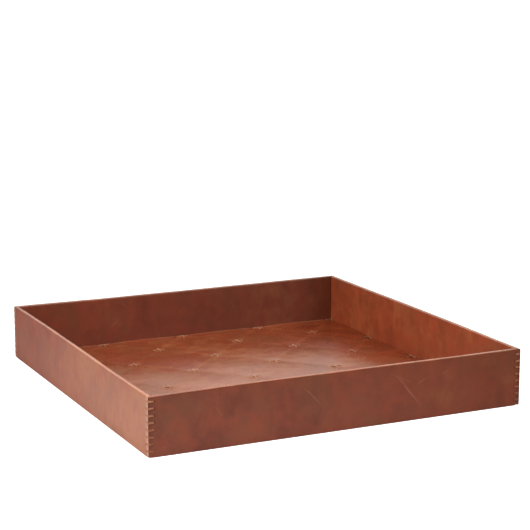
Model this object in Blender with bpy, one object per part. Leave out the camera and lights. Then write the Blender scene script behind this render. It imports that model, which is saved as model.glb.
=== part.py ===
"""Square leather tray: a mitred board box covered in leather, with a quilted floor and hand-sewn corners.

Metres, +Z up. The origin is the middle of the underside. +X points right and -Y is the front.
"""
import math

import bmesh
import bpy
from mathutils import Vector

# Outside of the leather walls
TRAY_LENGTH = 0.610
TRAY_DEPTH = 0.610
TRAY_HEIGHT = 0.0875

# Sheets and boards
WALL_LEATHER = 0.0012
FLOOR_LEATHER = 0.0010
WALL_BOARD = 0.0035
BASE_BOARD = 0.0025
FIT_GAP = 0.0003

# Folds of the wall leather over the eased top edges of the board, and under its square foot
BOARD_EASE = 0.0008
FOOT_FOLD = 0.0004
TURN_IN = 0.016
FOLD_STEPS = 4

# Quilted floor
DIAMONDS_ACROSS = 4
QUILT_STEPS = 3
QUILT_SWELL = 0.0013
CREASE_SWELL = 0.0004
WADDING_LEAST = 0.0005
swell_power_share = 0.6

# Crosses sewn through the floor
CROSS_SPAN = 0.020
CROSS_THREAD = 0.0015
CROSS_WALL_INSET = 0.0016
CROSS_SIDES = 4
cross_end_share = 0.55
cross_shoulder_share = 0.8
cross_hump_share = 0.25

# Corner stitches
STITCHES_PER_CORNER = 8
STITCH_THREAD = 0.0023
STITCH_REACH = 0.008
STITCH_RIM_MARGIN = 0.0066
STITCH_FOOT_MARGIN = 0.0094
STITCH_SIDES = 5
HOLE_SIDES = 8
CUT_OVERRUN = 0.001

# Sizes that follow from the ones above
WALL_THICKNESS = 2 * WALL_LEATHER + WALL_BOARD + 2 * FIT_GAP
BOARD_OUTER_FACE = WALL_LEATHER + FIT_GAP
BOARD_INNER_FACE = BOARD_OUTER_FACE + WALL_BOARD
BASE_BOTTOM = WALL_LEATHER + FIT_GAP
BASE_TOP = BASE_BOTTOM + BASE_BOARD
LINING_FOOT = BASE_TOP + FIT_GAP
PANEL_EDGE = WALL_THICKNESS + FIT_GAP
MITRE_SETBACK = FIT_GAP / math.sqrt(2)
RIM_RADIUS = BOARD_EASE + FIT_GAP + WALL_LEATHER
FOOT_RADIUS = FOOT_FOLD + WALL_LEATHER
HIDDEN_THREAD_DEPTH = WALL_LEATHER + FIT_GAP + STITCH_THREAD / 2
CELLS_ACROSS = 2 * DIAMONDS_ACROSS


def clear_scene():
    for old in list(bpy.data.objects):
        bpy.data.objects.remove(old, do_unlink=True)


def surface(name, color, roughness):
    """A plain principled material for one kind of piece."""
    material = bpy.data.materials.new(name)
    material.use_nodes = True
    shader = material.node_tree.nodes["Principled BSDF"]
    shader.inputs["Base Color"].default_value = (*color, 1)
    shader.inputs["Roughness"].default_value = roughness
    shader.inputs["Metallic"].default_value = 0
    return material


def add_object(name, bm, material):
    """Turn a finished bmesh into a named object with its faces pointing out."""
    bmesh.ops.recalc_face_normals(bm, faces=bm.faces)
    mesh = bpy.data.meshes.new(name)
    bm.to_mesh(mesh)
    bm.free()
    if material:
        mesh.materials.append(material)
    made = bpy.data.objects.new(name, mesh)
    bpy.context.scene.collection.objects.link(made)
    return made


def round_edges(made, angle=math.radians(35)):
    """Shade a piece smooth over its folds and leave its real edges sharp."""
    made.data.shade_smooth()
    made.data.set_sharp_from_angle(angle=angle)


class Wall:
    """One side of the tray, seen from its middle: along it, into the tray, and up."""

    def __init__(self, name, outward, length, distance):
        self.name = name
        self.inward = -Vector(outward)
        self.along = self.inward.cross(Vector((0, 0, 1)))
        self.length = length
        self.distance = distance

    def place(self, along, depth, height):
        spot = self.along * along + self.inward * (depth - self.distance)
        return Vector((spot.x, spot.y, height))


def tray_walls():
    half_length = TRAY_LENGTH / 2
    half_depth = TRAY_DEPTH / 2
    return [
        Wall("front", (0, -1, 0), TRAY_LENGTH, half_depth),
        Wall("right", (1, 0, 0), TRAY_DEPTH, half_length),
        Wall("back", (0, 1, 0), TRAY_LENGTH, half_depth),
        Wall("left", (-1, 0, 0), TRAY_DEPTH, half_length),
    ]


def arc(centre_depth, centre_height, radius, start, end, steps):
    """Points of a fold in a wall's section, as depth and height."""
    points = []
    for step in range(steps + 1):
        angle = math.radians(start + (end - start) * step / steps)
        points.append((centre_depth + radius * math.cos(angle), centre_height + radius * math.sin(angle)))
    return points


def leather_section():
    """Section of a wall's leather: turned in below, up the outside, over the rim and down the inside."""
    rim = TRAY_HEIGHT - RIM_RADIUS
    inner_rim = WALL_THICKNESS - RIM_RADIUS
    outside = [(TURN_IN, 0)]
    outside += arc(FOOT_RADIUS, FOOT_RADIUS, FOOT_RADIUS, 270, 180, FOLD_STEPS)
    outside += arc(RIM_RADIUS, rim, RIM_RADIUS, 180, 90, FOLD_STEPS)
    outside += arc(inner_rim, rim, RIM_RADIUS, 90, 0, FOLD_STEPS)
    outside.append((WALL_THICKNESS, LINING_FOOT))
    inside = [(TURN_IN, WALL_LEATHER)]
    inside += arc(FOOT_RADIUS, FOOT_RADIUS, FOOT_RADIUS - WALL_LEATHER, 270, 180, FOLD_STEPS)
    inside += arc(RIM_RADIUS, rim, RIM_RADIUS - WALL_LEATHER, 180, 90, FOLD_STEPS)
    inside += arc(inner_rim, rim, RIM_RADIUS - WALL_LEATHER, 90, 0, FOLD_STEPS)
    inside.append((WALL_THICKNESS - WALL_LEATHER, LINING_FOOT))
    return outside + inside[::-1]


def board_section():
    """Section of a wall's board, its top edges eased to fit under the rim fold."""
    top = TRAY_HEIGHT - RIM_RADIUS
    section = [(BOARD_INNER_FACE, BASE_BOTTOM), (BOARD_OUTER_FACE, BASE_BOTTOM)]
    section += arc(BOARD_OUTER_FACE + BOARD_EASE, top, BOARD_EASE, 180, 90, FOLD_STEPS)
    section += arc(BOARD_INNER_FACE - BOARD_EASE, top, BOARD_EASE, 90, 0, FOLD_STEPS)
    return section


def mitred_strip(wall, section):
    """Run a section along a wall, cut at 45 degrees where it meets its neighbours."""
    bm = bmesh.new()
    ends = []
    for side in (-1, 1):
        ring = []
        for depth, height in section:
            reach = wall.length / 2 - depth - MITRE_SETBACK
            ring.append(bm.verts.new(wall.place(side * reach, depth, height)))
        ends.append(ring)
    count = len(section)
    for index in range(count):
        following = (index + 1) % count
        bm.faces.new((ends[0][index], ends[0][following], ends[1][following], ends[1][index]))
    bm.faces.new(ends[0])
    bm.faces.new(ends[1][::-1])
    return bm


def stitch_heights():
    """Heights of the thread bars at a corner, spread evenly between the rim and foot margins."""
    run = TRAY_HEIGHT - STITCH_RIM_MARGIN - STITCH_FOOT_MARGIN
    return [STITCH_FOOT_MARGIN + run * row / (STITCHES_PER_CORNER - 1) for row in range(STITCHES_PER_CORNER)]


def needle_holes(wall):
    """Cutter for the holes that the corner thread passes through, near both ends of a wall's leather."""
    bm = bmesh.new()
    radius = STITCH_THREAD / 2 + FIT_GAP
    depths = (-CUT_OVERRUN, WALL_LEATHER + FIT_GAP / 2)
    for side in (-1, 1):
        middle = side * (wall.length / 2 - STITCH_REACH)
        for height in stitch_heights():
            rings = []
            for depth in depths:
                ring = []
                for corner in range(HOLE_SIDES):
                    turn = math.tau * corner / HOLE_SIDES
                    along = middle + radius * math.cos(turn)
                    ring.append(bm.verts.new(wall.place(along, depth, height + radius * math.sin(turn))))
                rings.append(ring)
            bridge(bm, rings)
    return cutter(f"{wall.name}_needle_holes", bm)


def thread_grooves(wall):
    """Cutter for the grooves in a wall's board, where the corner threads run on behind the leather."""
    bm = bmesh.new()
    clear = STITCH_THREAD / 2 + FIT_GAP
    heights = stitch_heights()
    low = heights[0] - clear
    high = heights[-1] + clear
    for side in (-1, 1):
        middle = side * (wall.length / 2 - STITCH_REACH)
        rings = []
        for depth in (BOARD_OUTER_FACE - CUT_OVERRUN, HIDDEN_THREAD_DEPTH + clear):
            corners = [(-clear, low), (clear, low), (clear, high), (-clear, high)]
            rings.append([bm.verts.new(wall.place(middle + along, depth, height)) for along, height in corners])
        bridge(bm, rings)
    return cutter(f"{wall.name}_thread_grooves", bm)


def cutter(name, bm):
    """Keep a shape out of the model, for cutting only."""
    made = add_object(name, bm, None)
    made.hide_render = True
    made.display_type = "WIRE"
    return made


def cut(made, tool):
    change = made.modifiers.new(tool.name, "BOOLEAN")
    change.operation = "DIFFERENCE"
    change.object = tool


def bridge(bm, rings):
    """Join rings of points into a closed tube with flat ends."""
    for lower, upper in zip(rings, rings[1:]):
        close_sides(bm, lower, upper)
    bm.faces.new(rings[0][::-1])
    bm.faces.new(rings[-1])


def close_sides(bm, lower, upper):
    count = len(lower)
    for index in range(count):
        following = (index + 1) % count
        bm.faces.new((lower[index], lower[following], upper[following], upper[index]))


def thread(bm, path, radii, sides):
    """Add one length of thread along a path, its rings turning no more than the path does."""
    rings = []
    last = len(path) - 1
    heading = (path[1] - path[0]).normalized()
    across = heading.orthogonal().normalized()
    for index, spot in enumerate(path):
        ahead = (path[min(index + 1, last)] - path[min(index, last - 1)]).normalized()
        behind = (path[max(index, 1)] - path[max(index - 1, 0)]).normalized()
        turned = (ahead + behind).normalized()
        across.rotate(heading.rotation_difference(turned))
        heading = turned
        level = heading.cross(across)
        ring = []
        for corner in range(sides):
            turn = math.tau * corner / sides
            offset = across * math.cos(turn) + level * math.sin(turn)
            ring.append(bm.verts.new(spot + offset * radii[index]))
        rings.append(ring)
    bridge(bm, rings)


def corner_thread(wall, next_wall, material):
    """One thread that wraps a corner in bars and climbs from bar to bar behind the leather."""
    proud = STITCH_THREAD / 2 + FIT_GAP
    outward = -wall.inward
    next_outward = -next_wall.inward
    edge = wall.place(wall.length / 2, 0, 0)
    bend = math.sqrt(0.5)
    path = []
    for row, height in enumerate(stitch_heights()):
        corner = edge + Vector((0, 0, height))
        first_hole = corner - wall.along * STITCH_REACH
        last_hole = corner + next_wall.along * STITCH_REACH
        bar = [
            first_hole - outward * HIDDEN_THREAD_DEPTH,
            first_hole,
            first_hole + wall.along * proud + outward * proud,
            corner + outward * proud,
            corner + (outward + next_outward) * bend * proud,
            corner + next_outward * proud,
            last_hole - next_wall.along * proud + next_outward * proud,
            last_hole,
            last_hole - next_outward * HIDDEN_THREAD_DEPTH,
        ]
        path += bar[::-1] if row % 2 else bar
    bm = bmesh.new()
    thread(bm, path, [STITCH_THREAD / 2] * len(path), STITCH_SIDES)
    return add_object(f"{corner_name(wall, next_wall)}_corner_thread", bm, material)


def corner_name(wall, next_wall):
    """Name of a corner, with front or back first."""
    names = sorted((wall.name, next_wall.name), key=lambda name: name in ("left", "right"))
    return "_".join(names)


def flat_sheet(edge_depth, bottom, top):
    """A plain rectangular sheet that stops a given depth inside the outer faces."""
    half_length = TRAY_LENGTH / 2 - edge_depth
    half_depth = TRAY_DEPTH / 2 - edge_depth
    bm = bmesh.new()
    rings = []
    for height in (bottom, top):
        corners = [(-1, -1), (1, -1), (1, 1), (-1, 1)]
        rings.append([bm.verts.new((x * half_length, y * half_depth, height)) for x, y in corners])
    bridge(bm, rings)
    return bm


def cross_pitch():
    """Distances along X and Y between neighbouring columns and rows of crosses."""
    reach = WALL_THICKNESS + CROSS_WALL_INSET
    return (TRAY_LENGTH - 2 * reach) / CELLS_ACROSS, (TRAY_DEPTH - 2 * reach) / CELLS_ACROSS


def quilt_swell(column, row):
    """Height of the quilting over its lowest points, which are the crosses.

    Column and row count cells from the front left cross. The creases run where their sum or their
    difference is even.
    """
    rising = abs(math.sin(math.pi * (column + row) / 2))
    falling = abs(math.sin(math.pi * (column - row) / 2))
    crown = QUILT_SWELL * (rising * falling) ** swell_power_share
    return crown + CREASE_SWELL * (rising ** 2 + falling ** 2) / 2


def quilt_grid(bm, height):
    """Grid of points over the floor, swelling with the quilting above a given height."""
    half_length = TRAY_LENGTH / 2 - PANEL_EDGE
    half_depth = TRAY_DEPTH / 2 - PANEL_EDGE
    pitch_x, pitch_y = cross_pitch()
    count = CELLS_ACROSS * QUILT_STEPS
    grid = []
    for step_y in range(count + 1):
        line = []
        row = step_y / QUILT_STEPS
        y = (row - CELLS_ACROSS / 2) * pitch_y
        if step_y in (0, count):
            y = math.copysign(half_depth, y)
        for step_x in range(count + 1):
            column = step_x / QUILT_STEPS
            x = (column - CELLS_ACROSS / 2) * pitch_x
            if step_x in (0, count):
                x = math.copysign(half_length, x)
            line.append(bm.verts.new((x, y, height + quilt_swell(column, row))))
        grid.append(line)
    return grid


def quilt_faces(bm, grid):
    """Cover a grid with triangles whose long edges lie along the creases."""
    for step_y in range(len(grid) - 1):
        for step_x in range(len(grid) - 1):
            near_left = grid[step_y][step_x]
            near_right = grid[step_y][step_x + 1]
            far_right = grid[step_y + 1][step_x + 1]
            far_left = grid[step_y + 1][step_x]
            cell_column = step_x // QUILT_STEPS
            cell_row = step_y // QUILT_STEPS
            if (cell_column + cell_row) % 2 == 0:
                bm.faces.new((near_left, near_right, far_right))
                bm.faces.new((near_left, far_right, far_left))
            else:
                bm.faces.new((near_left, near_right, far_left))
                bm.faces.new((near_right, far_right, far_left))


def grid_outline(grid):
    """Points round the outside of a grid, in order."""
    front = grid[0]
    right = [line[-1] for line in grid[1:]]
    back = grid[-1][-2::-1]
    left = [line[0] for line in grid[-2:0:-1]]
    return front + right + back + left


def wadding_sheet():
    """Wadding that is flat below and swells under each diamond."""
    bottom = BASE_TOP + FIT_GAP
    bm = bmesh.new()
    top = quilt_grid(bm, bottom + WADDING_LEAST)
    quilt_faces(bm, top)
    upper = grid_outline(top)
    lower = [bm.verts.new((vert.co.x, vert.co.y, bottom)) for vert in upper]
    close_sides(bm, lower, upper)
    bm.faces.new(lower[::-1])
    return bm


def quilted_sheet():
    """Floor leather of even thickness that follows the wadding."""
    bottom = floor_level() - FLOOR_LEATHER
    bm = bmesh.new()
    under = quilt_grid(bm, bottom)
    over = quilt_grid(bm, bottom + FLOOR_LEATHER)
    quilt_faces(bm, under)
    quilt_faces(bm, over)
    close_sides(bm, grid_outline(under), grid_outline(over))
    return bm


def floor_level():
    """Height of the floor leather's top at its lowest points."""
    return BASE_TOP + FIT_GAP + WADDING_LEAST + FIT_GAP + FLOOR_LEATHER


def straight_bar(heading, start, end):
    """A thread bar lying on the floor, from one distance to another along a heading."""
    radius = CROSS_THREAD / 2
    stops = [start, start + CROSS_THREAD, end - CROSS_THREAD, end]
    radii = [radius * cross_end_share, radius, radius, radius * cross_end_share]
    bm = bmesh.new()
    thread(bm, [heading * stop for stop in stops], radii, CROSS_SIDES)
    return bm


def arched_bar(heading):
    """A thread bar that rides over the middle of the bar below it."""
    reach = CROSS_SPAN / 2
    radius = CROSS_THREAD / 2
    rise = Vector((0, 0, radius))
    half = [(cross_shoulder_share, 0), (cross_hump_share, 1)]
    path = [heading * -reach]
    path += [heading * -reach * along + rise * up for along, up in half]
    path += [heading * reach * along + rise * up for along, up in half[::-1]]
    path.append(heading * reach)
    radii = [radius] * len(path)
    radii[0] = radius * cross_end_share
    radii[-1] = radius * cross_end_share
    bm = bmesh.new()
    thread(bm, path, radii, CROSS_SIDES)
    return bm


def sewn_pair(name, first, second, material):
    """One mesh of two bars drawn tight together."""
    lower = add_object(f"{name}_lower", first, material)
    upper = add_object(f"{name}_upper", second, material)
    union = lower.modifiers.new("drawn_tight", "BOOLEAN")
    union.operation = "UNION"
    union.object = upper
    depsgraph = bpy.context.evaluated_depsgraph_get()
    mesh = bpy.data.meshes.new_from_object(lower.evaluated_get(depsgraph))
    mesh.name = name
    bpy.data.objects.remove(lower, do_unlink=True)
    bpy.data.objects.remove(upper, do_unlink=True)
    return mesh


def cross_meshes(material):
    """The whole cross, the part cross that meets a wall, and the one that fills a corner."""
    reach = CROSS_SPAN / 2
    radius = CROSS_THREAD / 2
    right = Vector((1, 0, 0))
    back = Vector((0, 1, 0))
    return {
        "whole": sewn_pair("whole_cross", straight_bar(right, -reach, reach), arched_bar(back), material),
        "wall": sewn_pair("wall_cross", straight_bar(right, -reach, reach), straight_bar(back, 0, reach), material),
        "corner": sewn_pair(
            "corner_cross", straight_bar(right, -radius, reach), straight_bar(back, 0, reach), material
        ),
    }


def cross_kind(column, row):
    """Which cross a place takes, and its quarter turns from the front or the front left corner."""
    last = CELLS_ACROSS
    corners = [(0, 0), (last, 0), (last, last), (0, last)]
    if (column, row) in corners:
        return "corner", corners.index((column, row))
    sides = [row == 0, column == last, row == last, column == 0]
    if any(sides):
        return "wall", sides.index(True)
    return "whole", 0


def sewn_crosses(material):
    """A cross wherever two creases meet, just clear of the leather that it holds down."""
    meshes = cross_meshes(material)
    pitch_x, pitch_y = cross_pitch()
    facet_slope = quilt_swell(1 / QUILT_STEPS, 0) * QUILT_STEPS / min(pitch_x, pitch_y)
    level = floor_level() + facet_slope * CROSS_SPAN / 2 + FIT_GAP + CROSS_THREAD / 2
    for row in range(CELLS_ACROSS + 1):
        for column in range(row % 2, CELLS_ACROSS + 1, 2):
            kind, turns = cross_kind(column, row)
            cross = bpy.data.objects.new(f"floor_cross_r{row + 1}_c{column + 1}", meshes[kind])
            x = (column - CELLS_ACROSS / 2) * pitch_x
            y = (row - CELLS_ACROSS / 2) * pitch_y
            cross.location = (x, y, level)
            cross.rotation_euler = (0, 0, turns * math.pi / 2)
            bpy.context.scene.collection.objects.link(cross)


def build_walls(leather, board):
    for wall in tray_walls():
        core = add_object(f"{wall.name}_wall_board", mitred_strip(wall, board_section()), board)
        cut(core, thread_grooves(wall))
        covering = add_object(f"{wall.name}_wall_leather", mitred_strip(wall, leather_section()), leather)
        cut(covering, needle_holes(wall))
        round_edges(covering)


def build_base(leather, board, wadding, suede):
    add_object("base_board", flat_sheet(BOARD_INNER_FACE + FIT_GAP, BASE_BOTTOM, BASE_TOP), board)
    add_object("underside_cover", flat_sheet(TURN_IN + FIT_GAP, 0, WALL_LEATHER), suede)
    add_object("floor_wadding", wadding_sheet(), wadding)
    panel = add_object("floor_leather", quilted_sheet(), leather)
    round_edges(panel)


def build_stitches(waxed_thread):
    walls = tray_walls()
    for index, wall in enumerate(walls):
        next_wall = walls[(index + 1) % len(walls)]
        round_edges(corner_thread(wall, next_wall, waxed_thread), math.radians(80))
    sewn_crosses(waxed_thread)


clear_scene()
cognac_leather = surface("cognac_leather", (0.25, 0.07, 0.035), 0.42)
grey_board = surface("grey_board", (0.30, 0.27, 0.23), 0.9)
white_wadding = surface("white_wadding", (0.75, 0.73, 0.68), 0.95)
brown_suede = surface("brown_suede", (0.10, 0.05, 0.03), 0.95)
tan_thread = surface("tan_thread", (0.45, 0.22, 0.11), 0.6)
build_walls(cognac_leather, grey_board)
build_base(cognac_leather, grey_board, white_wadding, brown_suede)
build_stitches(tan_thread)
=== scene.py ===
import math

import bmesh
import bpy
import numpy as np
from mathutils import Matrix, Vector, noise


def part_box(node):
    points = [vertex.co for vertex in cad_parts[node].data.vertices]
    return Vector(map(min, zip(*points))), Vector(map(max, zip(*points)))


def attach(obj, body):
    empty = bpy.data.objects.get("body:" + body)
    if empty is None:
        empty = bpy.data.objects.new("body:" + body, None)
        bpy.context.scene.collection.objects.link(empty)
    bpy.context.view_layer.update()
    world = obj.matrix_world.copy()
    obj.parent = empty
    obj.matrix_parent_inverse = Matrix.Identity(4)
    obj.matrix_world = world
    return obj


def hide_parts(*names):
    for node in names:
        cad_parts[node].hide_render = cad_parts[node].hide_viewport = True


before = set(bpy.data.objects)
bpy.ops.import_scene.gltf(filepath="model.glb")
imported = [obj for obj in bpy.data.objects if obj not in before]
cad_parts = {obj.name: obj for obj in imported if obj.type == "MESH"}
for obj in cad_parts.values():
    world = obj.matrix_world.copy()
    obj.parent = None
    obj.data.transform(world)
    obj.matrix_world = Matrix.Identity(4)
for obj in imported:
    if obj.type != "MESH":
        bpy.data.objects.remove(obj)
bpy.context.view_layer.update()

# Wall boards and base board
# Grey fibreboard pressed from pulp. Four mitred strips stand inside the walls and a thinner sheet lies
# between their feet. All of it is glued up as a box before any leather goes on.


def add(tree, kind, inputs=None, **settings):
    """Add a node to a tree. Its inputs are values, or outputs of other nodes."""
    made = tree.nodes.new(kind)
    for name, value in settings.items():
        setattr(made, name, value)
    for socket, value in (inputs or {}).items():
        if isinstance(value, bpy.types.NodeSocket):
            tree.links.new(value, made.inputs[socket])
        else:
            made.inputs[socket].default_value = value
    return made


def start_material(name):
    """A new material, with its tree, its shader and the place on the object in metres."""
    material = bpy.data.materials.new(name)
    material.use_nodes = True
    tree = material.node_tree
    place = add(tree, "ShaderNodeTexCoord").outputs["Object"]
    return material, tree, tree.nodes["Principled BSDF"], place


def cloud(tree, place, size, detail=3.0, roughness=0.5, distortion=0.0):
    """Soft random pattern from 0 to 1, whose blotches have a size, or one each along X, Y and Z."""
    sizes = size if isinstance(size, tuple) else (size, size, size)
    scaled = add(tree, "ShaderNodeMapping", {"Vector": place, "Scale": [1 / length for length in sizes]})
    inputs = {
        "Vector": scaled.outputs["Vector"],
        "Scale": 1.0,
        "Detail": detail,
        "Roughness": roughness,
        "Distortion": distortion,
    }
    return add(tree, "ShaderNodeTexNoise", inputs).outputs["Fac"]


def sums(tree, operation, *values):
    """One math node."""
    return add(tree, "ShaderNodeMath", dict(enumerate(values)), operation=operation).outputs["Value"]


def weigh(tree, *parts):
    """Patterns added up, each times its share: (pattern, share)."""
    total, *others = [sums(tree, "MULTIPLY", pattern, share) for pattern, share in parts]
    for other in others:
        total = sums(tree, "ADD", total, other)
    return total


def spread(tree, value, low, high, to_low=0.0, to_high=1.0):
    """Stretch the range from low to high over another range, and hold it there."""
    inputs = {"Value": value, "From Min": low, "From Max": high, "To Min": to_low, "To Max": to_high}
    return add(tree, "ShaderNodeMapRange", inputs, interpolation_type="SMOOTHSTEP").outputs["Result"]


def shades(tree, factor, stops):
    """Colour ramp through (place, colour) stops."""
    ramp = add(tree, "ShaderNodeValToRGB", {"Fac": factor})
    elements = ramp.color_ramp.elements
    while len(elements) < len(stops):
        elements.new(0.5)
    for element, (spot, color) in zip(elements, stops):
        element.position = spot
        element.color = (*color, 1)
    return ramp.outputs["Color"]


def blend_colors(tree, factor, under, over):
    """Lay one colour over another. A mix node's colours go into sockets 6 and 7 and come out of 2."""
    made = add(tree, "ShaderNodeMix", {"Factor": factor}, data_type="RGBA")
    for socket, value in ((made.inputs[6], under), (made.inputs[7], over)):
        if isinstance(value, bpy.types.NodeSocket):
            tree.links.new(value, socket)
        else:
            socket.default_value = (*value, 1)
    return made.outputs[2]


def relief(tree, height, depth, under=None):
    """Raise and sink a surface by a pattern from 0 to 1, over a given depth."""
    inputs = {"Height": height, "Distance": depth, "Strength": 1.0}
    if under:
        inputs["Normal"] = under
    return add(tree, "ShaderNodeBump", inputs).outputs["Normal"]


def fibreboard():
    """Grey pulp board with its fibres and faint damp patches."""
    material, tree, shader, place = start_material("grey_fibreboard")
    pulp = cloud(tree, place, (0.0012, 0.0012, 0.0004), detail=6.0, roughness=0.65)
    damp = cloud(tree, place, (0.06, 0.06, 0.03), detail=2.0)
    flecks = weigh(tree, (pulp, 0.7), (damp, 0.3))
    stops = [(0.3, (0.16, 0.14, 0.12)), (0.5, (0.30, 0.27, 0.23)), (0.7, (0.42, 0.39, 0.33))]
    tree.links.new(shades(tree, flecks, stops), shader.inputs["Base Color"])
    tree.links.new(relief(tree, pulp, 0.0002), shader.inputs["Normal"])
    shader.inputs["Roughness"].default_value = 0.92
    return material


side_names = ["front", "right", "back", "left"]
board_finish = fibreboard()
for board_name in [f"{side}_wall_board" for side in side_names] + ["base_board"]:
    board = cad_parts[board_name]
    board.data.materials.clear()
    board.data.materials.append(board_finish)

# Wall leather
# One strip of waxed cognac leather for each wall, 1.2 mm thick. It is glued up the outside of the board,
# turned over the rim, brought down the inside as the lining and turned in under the foot. The ends are
# mitred, dark with dye and, on the front and back walls, painted shade, pricked for the thread and drawn
# together at the corners.

skin = 0.0012
half_width = -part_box("front_wall_leather")[0][1]
wall_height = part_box("front_wall_leather")[1][2]
wall_thickness = 0.0065
rim_radius = 0.0017
foot_radius = 0.0016
turned_in = 0.016
lining_foot = 0.0043
mitre_gap = 0.0002
stitch_rows = 8
stitch_reach = 0.008
top_stitch = 0.0066
bottom_stitch = 0.0094
sewn_strip = 0.014


def row_heights():
    """Heights of the thread bars at a corner."""
    return np.linspace(bottom_stitch, wall_height - top_stitch, stitch_rows)


def bell(distance, width):
    """One at no distance, falling to nothing well beyond a width."""
    return np.exp(-((distance / width) ** 2))


def rise(value, start, end):
    """Smooth step from 0 at start to 1 at end."""
    share = np.clip((value - start) / (end - start), 0, 1)
    return share * share * (3 - 2 * share)


def wander(points, size, seed):
    """Soft random value between about -1 and 1 for each point."""
    shift = Vector((seed * 1.7, seed * 3.1, seed * 5.3))
    return np.array([noise.noise(Vector(point) / size + shift) for point in points])


def section_path(inset, face_step, lining_step, arc_steps):
    """Points round a wall's section: (stage, depth, height, outward depth, outward height).

    Depth counts from the outer face into the tray. The path starts at the edge turned in under the
    foot and ends at the foot of the lining, inset under the outer skin.
    """
    top = wall_height - rim_radius
    inner = wall_thickness - rim_radius
    points = []

    def straight(stage, start, end, outward, step):
        count = max(1, round(math.dist(start, end) / step))
        for index in range(count):
            share = index / count
            depth = start[0] + (end[0] - start[0]) * share
            height = start[1] + (end[1] - start[1]) * share
            points.append((stage + share, depth, height, *outward))

    def fold(stage, centre, radius, start, end):
        for index in range(arc_steps):
            share = index / arc_steps
            turn = math.radians(start + (end - start) * share)
            outward = (math.cos(turn), math.sin(turn))
            depth = centre[0] + (radius - inset) * outward[0]
            height = centre[1] + (radius - inset) * outward[1]
            points.append((stage + share, depth, height, *outward))

    straight(0, (turned_in, inset), (foot_radius, inset), (0, -1), lining_step)
    fold(1, (foot_radius, foot_radius), foot_radius, 270, 180)
    straight(2, (inset, foot_radius), (inset, top), (-1, 0), face_step)
    fold(3, (rim_radius, top), rim_radius, 180, 90)
    straight(4, (rim_radius, wall_height - inset), (inner, wall_height - inset), (0, 1), face_step)
    fold(5, (inner, top), rim_radius, 90, 0)
    lining = wall_thickness - inset
    straight(6, (lining, top), (lining, lining_foot), (1, 0), lining_step)
    points.append((7, lining, lining_foot, 1, 0))
    return np.array(points)


def strip_columns(dense_step, plain_step):
    """Distances of a strip's columns from its nearer end, for the left half."""
    dense = np.arange(0, sewn_strip, dense_step)
    plain_count = round((half_width - sewn_strip) / plain_step)
    plain = np.linspace(sewn_strip, half_width, plain_count)
    return np.concatenate([dense, plain])


def strip_points(path, columns):
    """Place a section along a wall, mitred at both ends: arrays of along, depth and height."""
    depth = path[:, 1][:, None]
    reach = half_width - depth - mitre_gap
    sewn = (columns <= sewn_strip)[None, :]
    plain_share = ((half_width - columns) / (half_width - sewn_strip))[None, :]
    left = np.where(sewn, -reach + columns[None, :], -(reach - sewn_strip) * plain_share)
    along = np.concatenate([left, -left[:, -2::-1]], axis=1)
    depths = np.broadcast_to(depth, along.shape)
    heights = np.broadcast_to(path[:, 2][:, None], along.shape)
    return along, depths, heights


bar_groove = 0.0005
hole_sink = 0.0009
hole_width = 0.0010
hole_ring = 0.0002
hole_ring_radius = 0.0024
row_swell = 0.00022


def between_rows(height):
    """One halfway between two thread bars, and nothing at the bars or beyond the last ones."""
    rows = row_heights()
    swell = 0.5 - 0.5 * np.cos(2 * math.pi * (height - rows[0]) / (rows[1] - rows[0]))
    return swell * rise(height, rows[0] - 0.004, rows[0]) * rise(height, rows[-1] + 0.003, rows[-1])


def stitch_relief(from_end, height):
    """How far the leather stands out of the outer face, where the thread draws it in near a corner."""
    shape = np.zeros_like(height)
    under_bars = rise(from_end, stitch_reach + 0.0008, stitch_reach - 0.0006)
    for row in row_heights():
        across = height - row
        shape -= bar_groove * bell(across, 0.0011) * under_bars
        hole = np.hypot(from_end - stitch_reach, across)
        shape -= hole_sink * bell(hole, hole_width)
        shape += hole_ring * bell(hole - hole_ring_radius, hole_width)
    return shape + row_swell * between_rows(height) * bell(from_end - 0.005, 0.0045)


def lace(first, second):
    """Triangles between two rows of points side by side, each a list of (stage, vertex)."""
    faces = []
    near = 0
    far = 0
    while near < len(first) - 1 or far < len(second) - 1:
        far_done = far == len(second) - 1
        if far_done or (near < len(first) - 1 and first[near + 1][0] <= second[far + 1][0]):
            faces.append((first[near][1], first[near + 1][1], second[far][1]))
            near += 1
        else:
            faces.append((first[near][1], second[far + 1][1], second[far][1]))
            far += 1
    return faces


def grid_quads(rows, columns, start=0):
    """Quads over a grid of vertices counted row by row."""
    corner = np.arange(rows - 1)[:, None] * columns + np.arange(columns - 1)[None, :] + start
    quads = np.stack([corner, corner + 1, corner + columns + 1, corner + columns], axis=-1)
    return quads.reshape(-1, 4).tolist()


def new_object(name, data):
    """An object in the scene, unturned at the origin."""
    made = bpy.data.objects.new(name, data)
    bpy.context.scene.collection.objects.link(made)
    return made


def make_piece(name, points, faces, material, sharp=math.radians(40), values=None):
    """A closed mesh with its faces pointing out, and named values on its points for its material."""
    mesh = bpy.data.meshes.new(name)
    mesh.from_pydata(points, [], faces)
    mesh.materials.append(material)
    for value_name, numbers in (values or {}).items():
        layer = mesh.attributes.new(value_name, "FLOAT", "POINT")
        layer.data.foreach_set("value", np.asarray(numbers, dtype=np.float32))
    bm = bmesh.new()
    bm.from_mesh(mesh)
    bmesh.ops.recalc_face_normals(bm, faces=bm.faces)
    bm.to_mesh(mesh)
    bm.free()
    mesh.shade_smooth()
    mesh.set_sharp_from_angle(angle=sharp)
    return new_object(name, mesh)


def full_values(layers, plain_count):
    """Values for all points of a piece: those of its dressed side, then noughts for its plain side."""
    padding = np.zeros(plain_count)
    return {name: np.concatenate([layer.ravel(), padding]) for name, layer in layers.items()}


def turned(x, y, quarter_turns):
    """The like place at the wall or corner that is so many quarter turns on."""
    for _ in range(quarter_turns):
        x, y = -y, x
    return x, y


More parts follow.
